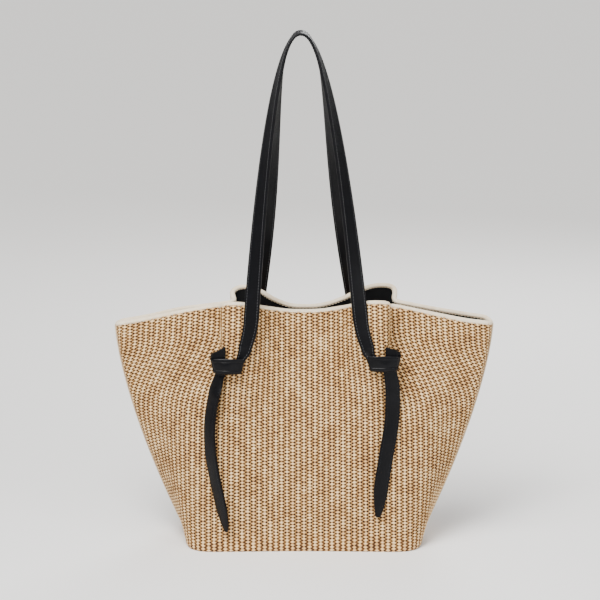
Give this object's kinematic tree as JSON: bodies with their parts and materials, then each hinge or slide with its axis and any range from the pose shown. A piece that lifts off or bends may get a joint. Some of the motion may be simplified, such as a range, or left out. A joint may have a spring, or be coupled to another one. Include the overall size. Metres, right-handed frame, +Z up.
{
  "type": "beach bag",
  "caption": "Winged woven-straw beach bag with piped rim, fabric lining and long leather straps knotted through slots in its pleats.",
  "frame": {"origin": "on the floor below the middle of the base, at the bottom centre of the whole bag with its straps up", "axes": "+Z up from the base towards the top of the straps, +X from wing to wing towards the right wing as seen from the front, +Y from the front face to the back face"},
  "size_m": [0.4777, 0.172, 0.6509],
  "materials": {
    "woven_straw": "open lacy weave of stitched straw cord, matt",
    "cream_cotton": "cream cotton binding over a cord",
    "black_lining": "plain black woven lining cloth",
    "black_leather": "smooth black leather with stitched edges, soft sheen",
    "grey_board": "grey stiffening board, hidden under the lining",
    "snap_metal": "antique brass magnetic snap"
  },
  "bodies": {
    "bag": {"front_panel": "woven_straw", "back_panel": "woven_straw", "base_panel": "woven_straw", "rim_piping": "cream_cotton", "lining_front": "black_lining", "lining_back": "black_lining", "lining_base": "black_lining", "base_board": "grey_board", "slip_pocket": "black_lining", "snap_socket": "snap_metal", "snap_stud": "snap_metal", "snap_socket_stiffener": "black_lining", "snap_stud_stiffener": "black_lining", "side_seam_tape_left": "black_lining", "side_seam_tape_right": "black_lining", "slot_patch_front_left": "black_lining", "slot_patch_front_right": "black_lining", "slot_patch_back_left": "black_lining", "slot_patch_back_right": "black_lining", "knot_front_left": "black_leather", "knot_front_right": "black_leather", "knot_back_left": "black_leather", "knot_back_right": "black_leather"},
    "front_handle": {"front_strap": "black_leather"},
    "back_handle": {"back_strap": "black_leather"},
    "front_left_tail": {"tail_front_left": "black_leather"},
    "front_right_tail": {"tail_front_right": "black_leather"},
    "back_left_tail": {"tail_back_left": "black_leather"},
    "back_right_tail": {"tail_back_right": "black_leather"}
  },
  "joints": [
    {"name": "front_handle_swing", "type": "hinge", "parent": "bag", "child": "front_handle", "pos_m": [0, -0.06198, 0.264], "axis": [1, 0, 0], "range_deg": [0, 120]},
    {"name": "back_handle_swing", "type": "hinge", "parent": "bag", "child": "back_handle", "pos_m": [0, 0.06073, 0.264], "axis": [-1, 0, 0], "range_deg": [0, 120]},
    {"name": "front_left_tail_swing", "type": "hinge", "parent": "bag", "child": "front_left_tail", "pos_m": [-0.105, -0.05808, 0.2286], "axis": [-1, 0, 0], "range_deg": [0, 70]},
    {"name": "front_right_tail_swing", "type": "hinge", "parent": "bag", "child": "front_right_tail", "pos_m": [0.108, -0.05891, 0.2321], "axis": [-1, 0, 0], "range_deg": [0, 70]},
    {"name": "back_left_tail_swing", "type": "hinge", "parent": "bag", "child": "back_left_tail", "pos_m": [-0.095, 0.05668, 0.2311], "axis": [1, 0, 0], "range_deg": [0, 70]},
    {"name": "back_right_tail_swing", "type": "hinge", "parent": "bag", "child": "back_right_tail", "pos_m": [0.096, 0.05894, 0.2286], "axis": [1, 0, 0], "range_deg": [0, 70]}
  ]
}
